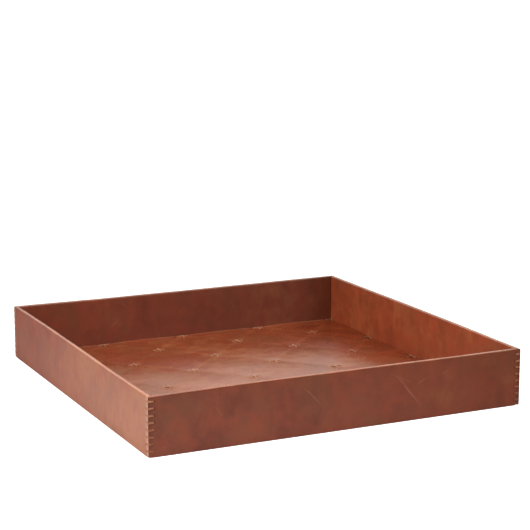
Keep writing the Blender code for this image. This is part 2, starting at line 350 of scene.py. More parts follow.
def turn_to_side(along, depth, height, quarter_turns):
    """World places for points of a wall that is so many quarter turns on from the front one."""
    x, y = turned(along, depth - half_width, quarter_turns)
    return np.stack([x, y, height], axis=-1).reshape(-1, 3)


# Each pair gives a value in the middle of a wall and its change towards the right end, seen from outside.
# Tones raise or lower how far the colour pulls up lighter. They hold the leather's own tone and painted
# light
# and shade: the left wall lighter towards its front end, where more light falls, and the front wall darker.
wall_tones_and_light = {"front": (-0.36, 0.20), "right": (-0.12, 0.12), "back": (-0.07, -0.24), "left": (0.20, 0.50)}
wall_dullness = {"front": (0.25, 0.10), "right": (0.0, 0.0), "back": (0.0, 0.0), "left": (0.30, -0.30)}
# The haze is a painted grey sheen on the back wall.
wall_painted_sheen = {"front": (0.0, 0.0), "right": (0.0, 0.0), "back": (0.34, -0.12), "left": (0.0, 0.0)}
wall_mottling = {"front": (0.10, 0.0), "right": (0.42, 0.0), "back": (0.36, 0.0), "left": (0.22, -0.22)}
# Rims are paler by rubbed wear and by a painted highlight, set for each wall and changing along it.
rim_wear_and_highlight = {"front": (0.58, 0.32), "right": (0.70, 0.0), "back": (0.85, 0.0), "left": (0.60, -0.08)}
rim_wear_and_highlight_depth = {"front": 0.0005, "right": 0.0009, "back": 0.0012, "left": 0.0005}
# How far the rim stands above or below its level at five places, from a wall's left end to its right.
rim_lifts = {
    "front": (0.0003, 0.0020, 0.0018, 0.0017, 0.0018),
    "right": (0.0018, 0.0020, 0.0020, 0.0009, -0.0003),
    "back": (-0.0003, -0.0003, -0.0003, 0.0, 0.0013),
    "left": (0.0013, 0.0022, 0.0014, -0.0002, 0.0003),
}
face_bow = 0.00030
face_cockle = 0.00008
rim_bow = 0.00022
rim_cockle = 0.00010
rim_nick = 0.00005
mitre_sink = 0.0003
knock = 0.9
knock_lift = 0.0030
knock_draw = 0.0018


def slanted(pair, along):
    """A value that changes evenly along a wall."""
    middle, change = pair
    return middle + change * along / half_width


def wavy_rim(side, along, height):
    """How far the leather above the last thread bar stands higher or lower along its wall."""
    lift = np.interp(along, np.linspace(-half_width, half_width, 5), rim_lifts[side])
    return lift * rise(height, wall_height - top_stitch + 0.0012, wall_height - 0.0012)


def knocked(side, along):
    """The right half of the front wall, whose end is knocked round at the foot and has more painted shade
    between its bars.
    """
    return np.where((side == "front") & (along > 0), knock, 0)


def facings(path, along):
    """Outward depth and height at a strip's points, and how far each is outer face, lining or rim."""
    out_depth = np.broadcast_to(path[:, 3][:, None], along.shape)
    out_height = np.broadcast_to(path[:, 4][:, None], along.shape)
    outer = np.clip(-out_depth, 0, 1)
    lining = np.clip(out_depth, 0, 1)
    crest = np.clip(out_height, 0, 1)
    return out_depth, out_height, outer, lining, crest


def worked_skin(side, quarter_turns, path, strip):
    """Places of the grain side, bowed and cockled, drawn in by the thread and knocked at the foot."""
    along, depth, height = strip
    out_depth, out_height, outer, lining, crest = facings(path, along)
    places = turn_to_side(along, depth, height, quarter_turns)
    bow = wander(places, size=0.11, seed=1).reshape(along.shape)
    cockle = wander(places, size=0.028, seed=2).reshape(along.shape)
    nick = wander(places, size=0.009, seed=3).reshape(along.shape)
    from_end = half_width - depth - np.abs(along)
    away = rise(from_end, 0.001, 0.035)
    stood = rise(height, 0.002, 0.02)
    shift = (outer + lining) * away * stood * (face_bow * bow + face_cockle * cockle)
    shift += crest * (rim_bow * bow + rim_cockle * cockle + rim_nick * nick) * away
    shift += outer * stitch_relief(from_end, height) * (0.4 if side in ("left", "right") else 1.0)
    shift -= (outer + lining + crest) * mitre_sink * np.exp(-np.abs(from_end) / 0.0006)
    rounded = bell(from_end, 0.0042) * rise(height, 0.006, 0.0) * (0.2 + knocked(side, along))
    worked_height = height + shift * out_height + knock_lift * rounded + wavy_rim(side, along, height)
    worked_depth = depth + shift * out_depth + knock_draw * rounded * outer
    return turn_to_side(along, worked_depth, np.maximum(worked_height, 0), quarter_turns)


def skin_values(side, path, strip):
    """How much rubbed wear and painted highlight, dye and painted shade, pull-up tone and painted light,
    dullness, painted sheen and mottling the grain side has at each of its points.
    """
    along, depth, height = strip
    _, _, outer, lining, crest = facings(path, along)
    on_side = side in ("left", "right")
    from_end = half_width - depth - np.abs(along)
    rim_drop = np.maximum(wall_height - height, 0)

    # Paler along the rim, partly rubbed wear and partly a painted highlight, rubbed pale at the foot and,
    # on the left and right walls, a painted highlight beside the corners.
    corner_highlight = 0.9 * bell(from_end, 0.0065) * outer if on_side else 0
    worn = slanted(rim_wear_and_highlight[side], along) * bell(rim_drop, rim_wear_and_highlight_depth[side])
    worn = np.clip(worn + 0.3 * bell(height, 0.0012) * outer + corner_highlight, 0, 1)

    # Darker round the thread holes and between the bars, painted shade; beside the mitres, dark dye and, on
    # the front and back walls, painted shade; a painted shadow at the foot; painted shade under the rim and
    # in a corner of the back wall's lining; and soil on the rim at the front right corner.
    past_holes = from_end - stitch_reach - 0.0012
    hole_shade = sum(bell(np.hypot(past_holes, height - row), 0.0013) for row in row_heights())
    hole_shade = hole_shade * (0.5 + 0.8 * rise(height, 0.03, 0.06))
    shaded = (0.16 + 0.16 * knocked(side, along)) * between_rows(height)
    shaded = shaded * rise(from_end, stitch_reach - 0.001, stitch_reach - 0.005)
    stitch_shade = outer * (hole_shade + shaded) * (0.12 if on_side else 1.0)
    # Beside the mitres: dark dye, and on the front and back walls painted shade as well.
    mitre = 0.4 * bell(from_end, 0.0006) * crest
    if not on_side:
        mitre = bell(from_end, 0.0009) * outer + mitre
    # A painted shadow along the foot.
    foot_shadow = 0.5 * bell(height, 0.0007) * outer
    handled = {"front": along > 0, "right": along < 0}.get(side, False)
    soiled_rim = 0.45 * bell(from_end, 0.016) * crest * handled
    # Painted shade under the rim of the front and left walls and in the back wall's lining near the back
    # right corner.
    painted_shade = {
        "front": 0.45 * bell(rim_drop - 0.0009, 0.0008) * rise(-along, -0.25, half_width) * outer,
        "back": 0.70 * bell(from_end, 0.04) * (along < 0) * lining,
        "left": 0.35 * bell(rim_drop - 0.0006, 0.0007) * lining,
    }.get(side, 0)
    dyed = np.clip(mitre + stitch_shade + foot_shadow + painted_shade + soiled_rim, 0, 1)
    return {
        "worn": worn,
        "dyed": dyed,
        "pulled": slanted(wall_tones_and_light[side], along),
        "matt": np.clip(dyed + slanted(wall_dullness[side], along), 0, 1),
        "hazed": slanted(wall_painted_sheen[side], along),
        "mottled": slanted(wall_mottling[side], along),
    }


def wall_leather(side, quarter_turns, material):
    """The strip of one wall: its grain side, its flesh side, and the edges and mitred ends between."""
    columns = strip_columns(dense_step=0.0005, plain_step=0.006)
    path = section_path(inset=0, face_step=0.0005, lining_step=0.0022, arc_steps=8)
    strip = strip_points(path, columns)
    grain = worked_skin(side, quarter_turns, path, strip)
    inner_path = section_path(inset=skin, face_step=1.0, lining_step=1.0, arc_steps=3)
    along, depth, height = strip_points(inner_path, columns)
    flesh = turn_to_side(along, depth, height + wavy_rim(side, along, height), quarter_turns)
    rows, count = strip[0].shape
    inner_rows = len(inner_path)
    start = len(grain)
    faces = grid_quads(rows, count) + grid_quads(inner_rows, count, start)
    edges = ((0, start), ((rows - 1) * count, start + (inner_rows - 1) * count))
    for column in range(count - 1):
        for outside, inside in edges:
            faces.append((outside + column, outside + column + 1, inside + column + 1, inside + column))
    for column in (0, count - 1):
        outside = [(path[row, 0], row * count + column) for row in range(rows)]
        inside = [(inner_path[row, 0], start + row * count + column) for row in range(inner_rows)]
        faces += lace(outside, inside)
    points = np.concatenate([grain, flesh]).tolist()
    values = full_values(skin_values(side, path, strip), len(flesh))
    piece = make_piece(f"{side}_wall_skin", points, faces, material, values=values)
    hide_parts(f"{side}_wall_leather")
    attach(piece, "root")


def surface_value(tree, name):
    """A value that the piece's own points carry."""
    return add(tree, "ShaderNodeAttribute", attribute_name=name).outputs["Fac"]


dark_cognac = (0.160, 0.028, 0.009)
deep_cognac = (0.205, 0.040, 0.013)
cognac = (0.262, 0.053, 0.018)
pulled_cognac = (0.343, 0.106, 0.036)
olive_cognac = (0.20, 0.062, 0.022)
ruddy_cognac = (0.275, 0.045, 0.016)
# A pale tan for rubbed wear and painted highlights.
wear_and_highlight_tan = (0.60, 0.33, 0.21)
# A dark brown for dye and painted shade.
dye_and_shade_brown = (0.090, 0.021, 0.006)
scuffed_tan = (0.42, 0.15, 0.08)
# A grey-brown for a painted sheen.
painted_sheen_grey = (0.055, 0.028, 0.030)
scuff_thickness = 0.004
pore_size = 0.0013


def scuff(tree, place, start, end, breadth, plane):
    """A long thin scuff from 1 to 0 between two points of a wall's face, given along X and Z."""
    length = math.dist(start, end) / 2
    turn = math.atan2(end[1] - start[1], end[0] - start[0])
    centre = ((start[0] + end[0]) / 2, plane, (start[1] + end[1]) / 2)
    moved = add(tree, "ShaderNodeVectorMath", {0: place, 1: centre}, operation="SUBTRACT").outputs["Vector"]
    laid = add(tree, "ShaderNodeMapping", {"Vector": moved, "Rotation": (0, turn, 0)}).outputs["Vector"]
    shrunk = (1 / length, 1 / scuff_thickness, 1 / breadth)
    scaled = add(tree, "ShaderNodeMapping", {"Vector": laid, "Scale": shrunk}).outputs["Vector"]
    away = add(tree, "ShaderNodeVectorMath", {0: scaled}, operation="LENGTH").outputs["Value"]
    return spread(tree, away, 0.1, 1.0, 1.0, 0.0)


def scratches(tree, place, scratched, scuffs):
    """Hair-thin scratches here and there, and the scuffs, which waver a little."""
    hair = cloud(tree, place, 0.045, detail=2.0, distortion=1.4)
    ridge = sums(tree, "ABSOLUTE", sums(tree, "SUBTRACT", hair, 0.5))
    here = spread(tree, cloud(tree, place, 0.05, detail=1.0), 0.50, 0.62, 0.0, scratched)
    marks = sums(tree, "MULTIPLY", spread(tree, ridge, 0.0, 0.006, 1.0, 0.0), here)
    if scuffs:
        waver = spread(tree, cloud(tree, place, 0.02), 0.2, 0.8, -0.0012, 0.0012)
        upward = add(tree, "ShaderNodeCombineXYZ", {"Z": waver}).outputs["Vector"]
        place = add(tree, "ShaderNodeVectorMath", {0: place, 1: upward}, operation="ADD").outputs["Vector"]
    for start, end, breadth, strength, plane in scuffs:
        mark = scuff(tree, place, start, end, breadth, plane)
        marks = sums(tree, "MAXIMUM", marks, sums(tree, "MULTIPLY", mark, strength))
    return marks


def waxed_leather(name, streak_sizes, dull, shiny, gloss, grain, scratched, scuffs=()):
    """Waxed leather whose colour pulls up lighter in clouds, faint streaks and scuffs."""
    material, tree, shader, place = start_material(name)
    broad = cloud(tree, place, 0.13, detail=2.0, distortion=0.6)
    blotch = cloud(tree, place, 0.030, detail=5.0, roughness=0.6, distortion=0.5)
    streak = cloud(tree, place, streak_sizes)
    tone = weigh(tree, (broad, 0.42), (blotch, 0.34), (streak, 0.24))
    # The pull-up value holds the leather's own tone together with painted light and painted shade.
    pulled = sums(tree, "MULTIPLY", surface_value(tree, "pulled"), 0.77)
    tone = sums(tree, "ADD", spread(tree, tone, 0.28, 0.72, 0.23, 1.0), pulled)
    stops = [(0.0, dark_cognac), (0.23, deep_cognac), (0.615, cognac), (1.0, pulled_cognac)]
    color = shades(tree, tone, stops)
    olive = cloud(tree, place, 0.07, detail=2.0, distortion=0.4)
    color = blend_colors(tree, spread(tree, olive, 0.42, 0.68, 0.0, 0.45), color, olive_cognac)
    flush = cloud(tree, place, 0.026, detail=4.0, roughness=0.55, distortion=0.2)
    color = blend_colors(tree, spread(tree, flush, 0.46, 0.70, 0.0, 0.5), color, ruddy_cognac)
    sunken = spread(tree, flush, 0.30, 0.58, 1.0, 0.0)
    mottled = sums(tree, "MULTIPLY", sunken, surface_value(tree, "mottled"))
    color = blend_colors(tree, mottled, color, dark_cognac)
    # A painted grey sheen where the points carry it.
    color = blend_colors(tree, surface_value(tree, "hazed"), color, painted_sheen_grey)

    marks = scratches(tree, place, scratched, scuffs)
    broken = sums(tree, "MULTIPLY", marks, spread(tree, blotch, 0.3, 0.55, 0.45, 1.0))
    color = blend_colors(tree, broken, color, scuffed_tan)
    # Paler with rubbed wear and with painted highlights.
    worn = surface_value(tree, "worn")
    paling = sums(tree, "MULTIPLY", worn, spread(tree, blotch, 0.25, 0.6, 0.25, 0.6))
    color = blend_colors(tree, paling, color, wear_and_highlight_tan)
    # Darker with dye and with painted shade.
    dyed = sums(tree, "MULTIPLY", surface_value(tree, "dyed"), 0.85)
    color = blend_colors(tree, dyed, color, dye_and_shade_brown)
    tree.links.new(color, shader.inputs["Base Color"])

    creasing = cloud(tree, place, 0.007, detail=2.0, distortion=1.2)
    pore_inputs = {"Vector": place, "Scale": 1 / pore_size, "Randomness": 1.0}
    pores = add(tree, "ShaderNodeTexVoronoi", pore_inputs, feature="SMOOTH_F1").outputs["Distance"]
    surface = relief(tree, pores, grain, relief(tree, creasing, 4 * grain))
    tree.links.new(surface, shader.inputs["Normal"])
    polish = spread(tree, blotch, 0.3, 0.7, shiny, dull)
    rim_polish = sums(tree, "SUBTRACT", 1.0, sums(tree, "MULTIPLY", worn, 0.5))
    tree.links.new(sums(tree, "MULTIPLY", polish, rim_polish), shader.inputs["Roughness"])
    shine = spread(tree, surface_value(tree, "matt"), 0.0, 1.0, 0.5, 0.05)
    tree.links.new(shine, shader.inputs["Specular IOR Level"])
    shader.inputs["IOR"].default_value = gloss
    return material


lining_plane = half_width - wall_thickness
# Scuffs on the front wall's face and the back wall's lining: start, end, breadth, strength and plane.
wall_scuffs = [
    ((0.077, 0.085), (0.138, 0.012), 0.0026, 0.42, -half_width),
    ((0.068, 0.080), (0.122, 0.056), 0.0022, 0.20, -half_width),
    ((0.118, 0.052), (0.146, 0.068), 0.0020, 0.28, -half_width),
    ((-0.078, 0.086), (-0.026, 0.032), 0.0020, 0.25, -half_width),
    ((-0.206, 0.064), (-0.190, 0.044), 0.0018, 0.20, -half_width),
    ((0.160, 0.066), (0.186, 0.072), 0.0016, 0.28, -half_width),
    ((-0.116, 0.078), (-0.098, 0.064), 0.0018, 0.22, lining_plane),
    ((-0.136, 0.032), (-0.118, 0.048), 0.0020, 0.20, lining_plane),
    ((0.188, 0.074), (0.197, 0.044), 0.0026, 0.16, lining_plane),
]
wall_finish = waxed_leather(
    "wall_leather", streak_sizes=(0.015, 0.015, 0.030), dull=0.44, shiny=0.39, gloss=1.40, grain=0.00003,
    scratched=0.15, scuffs=wall_scuffs,
)
for quarter_turns, side in enumerate(side_names):
    wall_leather(side, quarter_turns, wall_finish)

# Floor wadding and floor leather
# A thin sheet of felted wadding lies on the base board, and a leather panel covers it. The panel is
# creased corner to corner into diamonds and sewn down with a cross at every meeting of the creases.

cells = 8
cross_pitch = (half_width - wall_thickness - 0.0016) / (cells / 2)
cross_reach = 0.0100
floor_level = 0.0061
panel_edge = half_width - wall_thickness - 0.0003
panel_skin = 0.0010
dimple = 0.0008
crown_lift = 0.0006
crease_lift = 0.0003
wadding_foot = 0.0043
wadding_skin = 0.0005


def quilt_lines(per_cell):
    """Grid lines across the floor, closest together beside the rows of crosses."""
    share = np.arange(per_cell) / per_cell
    eased = share - 0.105 * np.sin(2 * math.pi * share)
    lines = np.concatenate([cell + eased for cell in range(cells)] + [[cells]])
    return lines - cells / 2


def quilt_height(x, y):
    """Height of the panel over its lowest places, which are the crosses."""
    column = x / cross_pitch
    row = y / cross_pitch
    rising = np.abs(np.sin(math.pi * (column + row) / 2))
    falling = np.abs(np.sin(math.pi * (column - row) / 2))
    crown = crown_lift * rising * falling
    return crown + crease_lift * (rising ** 2 + falling ** 2) / 2


def cross_distance(x, y):
    """Distances along X and Y from the nearest cross."""
    column = x / cross_pitch
    row = y / cross_pitch
    near_column = np.round((column + row) / 2) + np.round((column - row) / 2)
    near_row = np.round((column + row) / 2) - np.round((column - row) / 2)
    return (column - near_column) * cross_pitch, (row - near_row) * cross_pitch


def hole_distances(across, up):
    """Distances from the four thread holes of the nearest cross."""
    arms = ((1, 0), (-1, 0), (0, 1), (0, -1))
    return [np.hypot(across - x * cross_reach, up - y * cross_reach) for x, y in arms]


def creased_faces(lines, start=0):
    """Triangles over a square grid of vertices, with their long sides along the creases."""
    count = len(lines)
    middles = (lines[1:] + lines[:-1]) / 2
    cell_of = np.clip(np.floor(middles / cross_pitch + cells / 2), 0, cells - 1).astype(int)
    faces = []
    for row in range(count - 1):
        for column in range(count - 1):
            near_left = start + row * count + column
            near_right = near_left + 1
            far_left = near_left + count
            far_right = far_left + 1
            if (cell_of[row] + cell_of[column]) % 2 == 0:
                faces += [(near_left, near_right, far_right), (near_left, far_right, far_left)]
            else:
                faces += [(near_left, near_right, far_left), (near_right, far_right, far_left)]
    return faces


def grid_edge(lines, along_row, last, start=0):
    """One edge of a square grid, its first or last row or column: a list of (place, vertex)."""
    count = len(lines)
    edge = count - 1 if last else 0
    vertices = [edge * count + index if along_row else index * count + edge for index in range(count)]
    return [(place, start + vertex) for place, vertex in zip(lines, vertices)]


def quilt_sheet(name, per_cell, bottom_stride, top_of, bottom_of, material, values_of=None):
    """A sheet over the whole floor, fine on top and coarser below, closed round its edge."""
    inner = quilt_lines(per_cell) * cross_pitch
    lines = np.concatenate([[-panel_edge], inner, [panel_edge]])
    coarse = np.concatenate([[-panel_edge], inner[::bottom_stride], [panel_edge]])
    x, y = np.meshgrid(lines, lines)
    low_x, low_y = np.meshgrid(coarse, coarse)
    points = np.concatenate([
        np.stack([x, y, top_of(x, y)], axis=-1).reshape(-1, 3),
        np.stack([low_x, low_y, bottom_of(low_x, low_y)], axis=-1).reshape(-1, 3),
    ])
    start = x.size
    faces = creased_faces(lines) + creased_faces(coarse, start)
    for along_row in (True, False):
        for last in (False, True):
            faces += lace(grid_edge(lines, along_row, last), grid_edge(coarse, along_row, last, start))
    values = full_values(values_of(x, y), low_x.size) if values_of else None
    return make_piece(name, points.tolist(), faces, material, math.radians(60), values)


swell_change = 0.25
panel_cockle = 0.00012
panel_hole_sink = 0.0004
panel_hole_ring = 0.00008
panel_curl = 0.0005


def panel_top(x, y):
    """Height of the panel's grain side, quilted, cockled and drawn in at the crosses."""
    flat = np.stack([x, y, np.zeros_like(x)], axis=-1).reshape(-1, 3)
    wave = wander(flat, size=0.06, seed=7).reshape(x.shape)
    cockle = wander(flat, size=0.016, seed=8).reshape(x.shape)
    across, up = cross_distance(x, y)
    from_cross = np.hypot(across, up)
    height = floor_level + quilt_height(x, y) * (1 + swell_change * wave)
    height = height + panel_cockle * cockle * rise(from_cross, 0.002, 0.02)
    height = height - dimple * bell(from_cross, 0.011)
    for hole in hole_distances(across, up):
        height = height - panel_hole_sink * bell(hole, 0.0012)
        height = height + panel_hole_ring * bell(hole - 0.0022, 0.0012)
    edge = np.maximum(np.abs(x), np.abs(y))
    curled = panel_curl * rise(edge, panel_edge - 0.005, panel_edge - 0.001)
    return height + curled * (1 - bell(from_cross, 0.012))


def patch(x, y, middle, width, stretch=1.0):
    """One in the middle of a patch of the floor, falling to nothing well beyond its width."""
    return bell(np.hypot((x - middle[0]) / stretch, y - middle[1]), width)


def panel_values(x, y):
    """How much painted highlight, painted shade, pull-up tone and painted light, and dullness the panel has
    at each point of its grain side.
    """
    across, up = cross_distance(x, y)
    # Paler in the middle, a painted pool of light, and along the creases, a painted highlight on their
    # ridges;
    # darker near the right wall, painted shade, and in a patch at the back left.
    pulled = 0.80 * patch(x, y, (0.01, -0.03), 0.17, 1.6) - 0.95 * rise(x, 0.15, 0.28)
    pulled = pulled - 0.40 * patch(x, y, (-0.10, 0.14), 0.075)
    for crease in ((x - y) / cross_pitch, (x + y) / cross_pitch):
        from_crease = np.abs(crease - 2 * np.round(crease / 2)) * cross_pitch / math.sqrt(2)
        pulled = pulled + 0.35 * bell(from_crease, 0.0035)
    # Painted shade in the thread holes, and along the right wall, most of all round its crosses.
    holes = sum(bell(hole, 0.0015) for hole in hole_distances(across, up))
    pucker_shade = 0.9 * bell(np.hypot(across, up), 0.012) * (x > panel_edge - 0.02)
    right_wall_shade = 0.22 * rise(x, panel_edge - 0.030, panel_edge - 0.004)
    dyed = np.clip(0.8 * holes + pucker_shade + right_wall_shade, 0, 1)
    matt = dyed + 0.6 * patch(x, y, (-0.22, 0.02), 0.15) + 0.35 * patch(x, y, (-0.10, 0.15), 0.08)
    return {
        # A painted highlight along the back edge, where the panel's curled edge catches the light.
        "worn": 0.5 * rise(y, panel_edge - 0.004, panel_edge),
        "dyed": dyed,
        "pulled": pulled,
        "matt": np.clip(matt + 0.8 * rise(x, 0.17, 0.27), 0, 1),
        "hazed": np.zeros_like(x),
        "mottled": np.zeros_like(x),
    }


def wadding_felt():
    """Off-white fibres felted in clumps."""
    material, tree, shader, place = start_material("felted_wadding")
    fibres = cloud(tree, place, (0.0009, 0.0009, 0.0005), detail=6.0, roughness=0.7, distortion=2.0)
    clumps = cloud(tree, place, 0.012, detail=3.0)
    mixed = weigh(tree, (fibres, 0.6), (clumps, 0.4))
    stops = [(0.3, (0.55, 0.52, 0.46)), (0.7, (0.84, 0.82, 0.77))]
    tree.links.new(shades(tree, mixed, stops), shader.inputs["Base Color"])
    tree.links.new(relief(tree, mixed, 0.0006), shader.inputs["Normal"])
    shader.inputs["Roughness"].default_value = 0.98
    shader.inputs["Sheen Weight"].default_value = 0.4
    return material


wadding = quilt_sheet(
    "quilt_wadding", per_cell=12, bottom_stride=4,
    top_of=lambda x, y: wadding_foot + wadding_skin + quilt_height(x, y) * 0.6,
    bottom_of=lambda x, y: np.full_like(x, wadding_foot),
    material=wadding_felt(),
)
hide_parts("floor_wadding")
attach(wadding, "root")

floor_finish = waxed_leather(
    "floor_leather_finish", streak_sizes=(0.09, 0.02, 0.05), dull=0.30, shiny=0.25, gloss=1.65,
    grain=0.000004, scratched=0.08,
)
panel = quilt_sheet(
    "quilted_panel", per_cell=24, bottom_stride=4,
    top_of=panel_top,
    bottom_of=lambda x, y: floor_level - panel_skin + quilt_height(x, y) * 0.7,
    material=floor_finish,
    values_of=panel_values,
)
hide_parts("floor_leather")
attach(panel, "root")

# Crosses on the floor
# Thick waxed linen thread, three plies twisted together, sewn through the panel, the wadding and the
# base board. Each cross is two bars, one over the other. Along the walls and in the corners only the
# bars that fit are sewn.

floor_thread_width = 0.0021
bar_level = floor_thread_width * 0.32
crossing_hump = floor_thread_width * 0.30
thread_dive = 0.0016


def new_tree(name, inputs):
    """An empty geometry tree with named inputs: (name, kind, value)."""
    tree = bpy.data.node_groups.new(name, "GeometryNodeTree")
    tree.interface.new_socket("Geometry", in_out="INPUT", socket_type="NodeSocketGeometry")
    tree.interface.new_socket("Geometry", in_out="OUTPUT", socket_type="NodeSocketGeometry")
    for title, kind, value in inputs:
        socket = tree.interface.new_socket(title, in_out="INPUT", socket_type=f"NodeSocket{kind}")
        if value is not None:
            socket.default_value = value
    return tree, add(tree, "NodeGroupInput").outputs


def end_tree(tree, geometry, material):
    """Close a geometry tree with plain geometry in its material."""
    plain = add(tree, "GeometryNodeRealizeInstances", {"Geometry": geometry}).outputs["Geometry"]
    finished = add(tree, "GeometryNodeSetMaterial", {"Geometry": plain, "Material": material})
    add(tree, "NodeGroupOutput", {"Geometry": finished.outputs["Geometry"]})


def twisted_thread():
    """Thread along a curve: a section with a lobe for each ply, turning once in each lay."""
    tree, given = new_tree("twisted_thread", [
        ("Width", "Float", 0.0015),
        ("Lay", "Float", 0.004),
        ("Plies", "Int", 3),
        ("Bend", "Float", 0.0008),
        ("Step", "Float", 0.0004),
        ("Material", "Material", None),
    ])
    bends = {"Curve": given["Geometry"], "Radius": given["Bend"], "Count": 5, "Limit Radius": True}
    rounded = add(tree, "GeometryNodeFilletCurve", bends, mode="POLY").outputs["Curve"]
    steps = {"Curve": rounded, "Length": given["Step"]}
    even = add(tree, "GeometryNodeResampleCurve", steps, mode="LENGTH").outputs["Curve"]
    length = add(tree, "GeometryNodeSplineParameter").outputs["Length"]
    angle = sums(tree, "MULTIPLY", sums(tree, "DIVIDE", length, given["Lay"]), math.tau)
    laid = add(tree, "GeometryNodeSetCurveTilt", {"Curve": even, "Tilt": angle}).outputs["Curve"]
    outer = sums(tree, "MULTIPLY", given["Width"], 0.5)
    valley = sums(tree, "MULTIPLY", outer, 0.70)
    radii = {"Points": given["Plies"], "Inner Radius": valley, "Outer Radius": outer, "Twist": 0.0}
    lobes = {"Curve": add(tree, "GeometryNodeCurveStar", radii).outputs["Curve"]}
    soft = add(tree, "GeometryNodeCurveSplineType", lobes, spline_type="CATMULL_ROM").outputs["Curve"]
    finer = add(tree, "GeometryNodeSetSplineResolution", {"Geometry": soft, "Resolution": 2})
    sweep = {"Curve": laid, "Profile Curve": finer.outputs["Geometry"], "Fill Caps": True}
    swept = add(tree, "GeometryNodeCurveToMesh", sweep).outputs["Mesh"]
    end_tree(tree, swept, given["Material"])
    return tree


def run_tree(start, tree, name, **inputs):
    """Run a geometry tree on an object and keep the result as a plain mesh piece of its own."""
    change = start.modifiers.new(tree.name, "NODES")
    change.node_group = tree
    sockets = {item.name: item.identifier for item in tree.interface.items_tree if item.in_out == "INPUT"}
    for title, value in inputs.items():
        change[sockets[title.replace("_", " ")]] = value
    evaluated = start.evaluated_get(bpy.context.evaluated_depsgraph_get())
    mesh = bpy.data.meshes.new_from_object(evaluated)
    mesh.name = name
    start.modifiers.remove(change)
    bpy.data.objects.remove(start, do_unlink=True)
    mesh.shade_smooth()
    return new_object(name, mesh)


def paths_object(name, paths):
    """A curve object with one straight-sided spline for each path."""
    data = bpy.data.curves.new(name, "CURVE")
    data.dimensions = "3D"
    for path in paths:
        spline = data.splines.new("POLY")
        spline.points.add(len(path) - 1)
        for point, spot in zip(spline.points, path):
            point.co = (*spot, 1)
    return new_object(name, data)


def waxed_thread(name, dark, middle, pale, paling=0.0):
    """Waxed linen thread, darker low down.

    A floor thread is instead painted paler in the near half of the tray, a painted highlight, and darker
    towards the tray's right side.
    """
    material, tree, shader, place = start_material(name)
    spot = add(tree, "ShaderNodeSeparateXYZ", {"Vector": place}).outputs
    fibres = cloud(tree, place, 0.0003, detail=4.0, roughness=0.7)
    wax = cloud(tree, place, 0.004, detail=2.0)
    mixed = weigh(tree, (fibres, 0.5), (wax, 0.5))
    # On the floor: painted paler in the near half, a painted highlight, and darker towards the right wall.
    if paling:
        mixed = sums(tree, "ADD", mixed, spread(tree, spot["Y"], -0.02, 0.24, paling, 0.0))
        mixed = sums(tree, "ADD", mixed, spread(tree, spot["X"], 0.12, 0.29, 0.0, -0.35))
    else:
        mixed = sums(tree, "ADD", mixed, spread(tree, spot["Z"], 0.012, 0.050, -0.20, 0.03))
    darkest = tuple(0.3 * channel for channel in dark)
    stops = [(0.0, darkest), (0.3, dark), (0.5, middle), (0.72, pale)]
    tree.links.new(shades(tree, mixed, stops), shader.inputs["Base Color"])
    tree.links.new(relief(tree, fibres, 0.00012), shader.inputs["Normal"])
    shader.inputs["Roughness"].default_value = 0.6
    shader.inputs["Specular IOR Level"].default_value = 0.25
    return material


thread_tree = twisted_thread()
# Paler than the corner thread's colours: the same thread painted lighter where more light falls on it from
# above.
lit_floor_thread = waxed_thread(
    "waxed_thread", dark=(0.29, 0.10, 0.048), middle=(0.36, 0.145, 0.078), pale=(0.52, 0.31, 0.225),
    paling=0.13,
)


def bar_path(heading, whole, hump):
    """A thread bar from hole to hole, or from its cross's middle to a hole, with a hump at the middle."""
    risen = bar_level + hump
    half = [(cross_reach * 0.3, risen), (cross_reach, bar_level), (cross_reach, -thread_dive)]
    other_half = [(-along, up) for along, up in half[::-1]] if whole else [(0.0, risen)]
    return [heading * along + Vector((0, 0, up)) for along, up in other_half + half]


across_bar = Vector((1, 0, 0))
inward_bar = Vector((0, 1, 0))
whole_bars = {"whole": (True, True), "wall": (True, False), "corner": (False, False)}
crosses = {}
for kind, (whole_across, whole_inward) in whole_bars.items():
    bars = [bar_path(across_bar, whole_across, 0), bar_path(inward_bar, whole_inward, crossing_hump)]
    crosses[kind] = run_tree(
        paths_object(kind, bars), thread_tree, f"{kind}_cross_pattern",
        Width=floor_thread_width, Lay=0.0050, Plies=3, Bend=0.0006, Step=0.0005, Material=lit_floor_thread,
    )


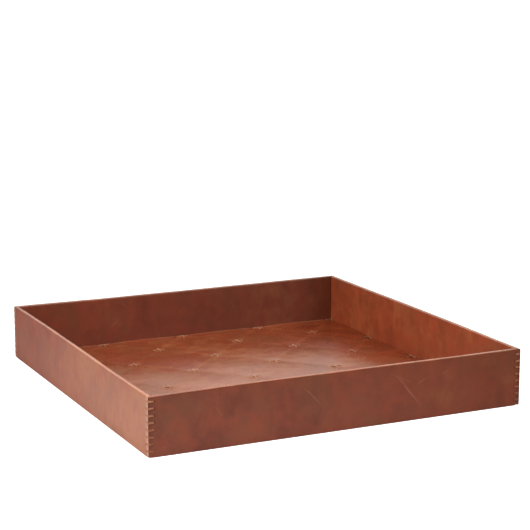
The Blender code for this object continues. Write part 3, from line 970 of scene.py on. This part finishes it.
def sewn_lattice():
    """A cross at every other point of a lattice, whole inside it and in part along its sides."""
    tree, given = new_tree("sewn_lattice", [
        ("Whole", "Object", None),
        ("Wall", "Object", None),
        ("Corner", "Object", None),
        ("Pitch", "Float", 0.074),
        ("Cells", "Int", 8),
        ("Level", "Float", 0.006),
        ("Skew", "Float", 0.07),
        ("Seed", "Int", 3),
        ("Material", "Material", None),
    ])

    def calc(operation, *values):
        return sums(tree, operation, *values)

    def both(operation, *values):
        made = add(tree, "FunctionNodeBooleanMath", dict(enumerate(values)), operation=operation)
        return made.outputs["Boolean"]

    size = calc("MULTIPLY", given["Pitch"], given["Cells"])
    count = calc("ADD", given["Cells"], 1.0)
    grid = {"Size X": size, "Size Y": size, "Vertices X": count, "Vertices Y": count}
    lattice = add(tree, "GeometryNodeMeshGrid", grid).outputs["Mesh"]
    position = add(tree, "GeometryNodeInputPosition").outputs["Position"]
    spot = add(tree, "ShaderNodeSeparateXYZ", {"Vector": position}).outputs
    column = calc("ROUND", calc("DIVIDE", spot["X"], given["Pitch"]))
    row = calc("ROUND", calc("DIVIDE", spot["Y"], given["Pitch"]))
    odd = calc("PINGPONG", calc("ADD", column, row), 1.0)
    skipped = {"Geometry": lattice, "Selection": calc("GREATER_THAN", odd, 0.5)}
    kept = add(tree, "GeometryNodeDeleteGeometry", skipped).outputs["Geometry"]
    edge = calc("SUBTRACT", calc("DIVIDE", given["Cells"], 2.0), 0.5)
    at_side = calc("GREATER_THAN", calc("ABSOLUTE", column), edge)
    at_end = calc("GREATER_THAN", calc("ABSOLUTE", row), edge)
    chosen = {
        "Whole": (both("NOR", at_side, at_end), 0.0),
        "Wall": (both("XOR", at_side, at_end), math.pi / 2),
        "Corner": (both("AND", at_side, at_end), math.pi * 3 / 4),
    }
    bearing = calc("ARCTAN2", row, column)
    raised = add(tree, "ShaderNodeCombineXYZ", {"Z": given["Level"]}).outputs["Vector"]
    # The random node's decimal range goes into sockets 2 and 3, and its number comes out of 1.
    skews = {2: calc("MULTIPLY", given["Skew"], -1.0), 3: given["Skew"], "Seed": given["Seed"]}
    skew = add(tree, "FunctionNodeRandomValue", skews, data_type="FLOAT").outputs[1]
    quarter = math.pi / 2
    join = add(tree, "GeometryNodeJoinGeometry")
    for title, (selection, offset) in chosen.items():
        quarters = calc("ROUND", calc("DIVIDE", calc("ADD", bearing, offset), quarter))
        turn = calc("ADD", calc("MULTIPLY", quarters, quarter) if offset else 0.0, skew)
        rotation = add(tree, "ShaderNodeCombineXYZ", {"Z": turn}).outputs["Vector"]
        pattern = add(tree, "GeometryNodeObjectInfo", {"Object": given[title]}).outputs["Geometry"]
        spots = {"Points": kept, "Selection": selection, "Instance": pattern, "Rotation": rotation}
        sewn = add(tree, "GeometryNodeInstanceOnPoints", spots).outputs["Instances"]
        lift = {"Instances": sewn, "Translation": raised, "Local Space": False}
        placed = add(tree, "GeometryNodeTranslateInstances", lift).outputs["Instances"]
        tree.links.new(placed, join.inputs["Geometry"])
    end_tree(tree, join.outputs["Geometry"], given["Material"])
    return tree


cross_start = new_object("cross_start", bpy.data.meshes.new("cross_start"))
floor_crosses = run_tree(
    cross_start, sewn_lattice(), "floor_crosses",
    Whole=crosses["whole"], Wall=crosses["wall"], Corner=crosses["corner"],
    Pitch=cross_pitch, Cells=cells, Level=floor_level - dimple, Skew=0.07, Seed=3, Material=lit_floor_thread,
)
for pattern in crosses.values():
    bpy.data.objects.remove(pattern, do_unlink=True)
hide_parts(*[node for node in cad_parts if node.startswith("floor_cross_")])
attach(floor_crosses, "root")

# Corner stitches
# The same waxed thread in a thicker size. At each corner one length draws the two walls together with
# eight bars round the outside edge. It climbs from bar to bar in a groove of the board.

corner_thread_width = 0.0034
thread_play = 0.0003
edge_bend = 0.0014
bar_lean = 0.0004
front_sunk = 0.0003
side_sunk = 0.0011


def corner_path(heights, first_sunk, second_sunk):
    """Route of the thread at the front right corner, which is set at the origin.

    The thread sinks by different depths into the two walls that it draws together.
    """
    hidden = skin + thread_play + corner_thread_width / 2
    path = []
    for index, height in enumerate(heights):
        bar = [
            (-stitch_reach, hidden),
            (-stitch_reach, first_sunk),
            (-edge_bend, first_sunk),
            (-second_sunk, edge_bend),
            (-second_sunk, stitch_reach),
            (-hidden, stitch_reach),
        ]
        lean = bar_lean * math.sin(index * 2.3)
        spots = [(x, y, height + lean * side) for (x, y), side in zip(bar, (-1, -1, 0, 0, 1, 1))]
        path += spots[::-1] if index % 2 else spots
    return path


corner_thread = waxed_thread(
    "waxed_corner_thread", dark=(0.30, 0.105, 0.048), middle=(0.39, 0.15, 0.078), pale=(0.49, 0.21, 0.12)
)
for quarter_turns, corner in enumerate(["front_right", "back_right", "back_left", "front_left"]):
    sunk = (side_sunk, front_sunk) if quarter_turns % 2 else (front_sunk, side_sunk)
    route = [
        (*turned(x + half_width, y - half_width, quarter_turns), z)
        for x, y, z in corner_path(row_heights(), *sunk)
    ]
    sewing = run_tree(
        paths_object(corner, [route]), thread_tree, f"{corner}_stitches",
        Width=corner_thread_width, Lay=0.0040, Plies=3, Bend=0.0007, Step=0.0004, Material=corner_thread,
    )
    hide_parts(f"{corner}_corner_thread")
    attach(sewing, "root")

# Underside cover
# A sheet of dark brown suede, 1.2 mm thick, glued under the base inside the border of turned-in leather.
# Its edge is cut by hand with a knife, and its nap is brushed both ways.

cover_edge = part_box("underside_cover")[1][0]
cover_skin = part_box("underside_cover")[1][2]
knife_waver = 0.00015


def suede():
    """Dark brown nap, brushed both ways."""
    material, tree, shader, place = start_material("brushed_suede")
    nap = cloud(tree, place, 0.0007, detail=5.0, roughness=0.7)
    brushed = cloud(tree, place, (0.05, 0.02, 0.05), detail=4.0, roughness=0.65, distortion=1.2)
    mixed = weigh(tree, (nap, 0.4), (brushed, 0.6))
    stops = [(0.3, (0.06, 0.028, 0.017)), (0.5, (0.10, 0.05, 0.032)), (0.7, (0.16, 0.088, 0.058))]
    tree.links.new(shades(tree, mixed, stops), shader.inputs["Base Color"])
    tree.links.new(relief(tree, nap, 0.0003), shader.inputs["Normal"])
    shader.inputs["Roughness"].default_value = 0.95
    shader.inputs["Sheen Weight"].default_value = 0.35
    return material


def suede_cover(material):
    """A flat sheet whose cut edge wavers a little and is rounded below."""
    count = 60
    share = np.linspace(-1, 1, count)
    x, y = np.meshgrid(share, share)
    flat = np.stack([x, y, np.zeros_like(x)], axis=-1).reshape(-1, 3)
    waver = wander(flat * cover_edge, size=0.03, seed=12).reshape(x.shape)
    edge = np.maximum(np.abs(x), np.abs(y))
    reach = cover_edge - knife_waver * (1 + waver) * (edge > 0.999)
    rounding = 0.0003 * rise(edge, 0.985, 1.0)
    below = np.stack([x * reach, y * reach, rounding], axis=-1).reshape(-1, 3)
    above = np.stack([x * reach, y * reach, np.full_like(x, cover_skin)], axis=-1).reshape(-1, 3)
    start = count * count
    faces = grid_quads(count, count) + grid_quads(count, count, start)
    for index in range(count - 1):
        for first, second in (
            (index, index + 1),
            (index + (count - 1) * count, index + 1 + (count - 1) * count),
            (index * count, (index + 1) * count),
            (index * count + count - 1, (index + 1) * count + count - 1),
        ):
            faces.append((first, second, second + start, first + start))
    return make_piece("suede_cover", np.concatenate([below, above]).tolist(), faces, material)


cover = suede_cover(suede())
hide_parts("underside_cover")
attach(cover, "root")

# Studio
# A white floor that runs out to a white surround, a soft lamp to the left, two weaker ones above the near
# half of the tray, and a camera that looks down a little on its front left corner.


def white_floor():
    """A matt white floor that still looks white to the camera where the lamps don't reach."""
    material, tree, shader, _ = start_material("white_floor")
    shader.inputs["Base Color"].default_value = (0.86, 0.86, 0.86, 1)
    shader.inputs["Roughness"].default_value = 0.9
    shader.inputs["Specular IOR Level"].default_value = 0.0
    seen = add(tree, "ShaderNodeLightPath").outputs
    mirrored = sums(tree, "MAXIMUM", seen["Is Glossy Ray"], seen["Is Transmission Ray"])
    strength = weigh(tree, (seen["Is Camera Ray"], 0.95), (mirrored, 0.04))
    glow = add(tree, "ShaderNodeEmission", {"Color": (1, 1, 1, 1), "Strength": strength})
    lit = add(tree, "ShaderNodeAddShader", {0: shader.outputs["BSDF"], 1: glow.outputs["Emission"]})
    tree.links.new(lit.outputs["Shader"], tree.nodes["Material Output"].inputs["Surface"])
    return material


floor_reach = 12.0
floor_drop = 0.0001
floor = new_object("studio_floor", bpy.data.meshes.new("studio_floor"))
corners = ((-1, -1), (1, -1), (1, 1), (-1, 1))
places = [(x * floor_reach, y * floor_reach, -floor_drop) for x, y in corners]
floor.data.from_pydata(places, [], [(0, 1, 2, 3)])
floor.data.materials.append(white_floor())

surround = bpy.data.worlds.new("white_surround")
bpy.context.scene.world = surround
surround.use_nodes = True
tree = surround.node_tree
background = tree.nodes["Background"]
seen = add(tree, "ShaderNodeLightPath").outputs
shown = sums(tree, "MAXIMUM", seen["Is Camera Ray"], seen["Is Glossy Ray"])
shown = sums(tree, "MAXIMUM", shown, seen["Is Transmission Ray"])
background.inputs["Color"].default_value = (1, 1, 1, 1)
tree.links.new(spread(tree, shown, 0.0, 1.0, 0.10, 1.0), background.inputs["Strength"])


def soft_lamp(name, spot, target, size, power):
    """A square lamp that faces its target."""
    data = bpy.data.lights.new(name, "AREA")
    data.shape = "SQUARE"
    data.size = size
    data.energy = power
    lamp = new_object(name, data)
    lamp.location = spot
    lamp.rotation_euler = (Vector(target) - Vector(spot)).to_track_quat("-Z", "Y").to_euler()


soft_lamp("left_lamp", (-2.2, 0.0, 1.2), (0, 0, 0.03), size=0.8, power=31.5)
soft_lamp("overhead_lamp", (-0.3, -0.3, 1.2), (0, 0, 0.03), size=0.8, power=7.4)
soft_lamp("front_lamp", (-0.2, -0.45, 0.8), (-0.05, -0.1, 0), size=0.5, power=5.6)

camera_data = bpy.data.cameras.new("camera")
camera_data.sensor_width = 36
camera_data.lens = 112.65
camera_data.clip_end = 60
camera = new_object("camera", camera_data)
camera_spot = Vector((-1.1095, -2.3418, 0.7192))
camera_target = Vector((0.4182, 0.8271, 0.0))
camera_roll = math.radians(0.108)
camera.location = camera_spot
level = (camera_target - camera_spot).to_track_quat("-Z", "Y").to_matrix()
camera.rotation_euler = (level @ Matrix.Rotation(camera_roll, 3, "Z")).to_euler()
bpy.context.scene.camera = camera
bpy.context.scene.view_settings.view_transform = "Standard"
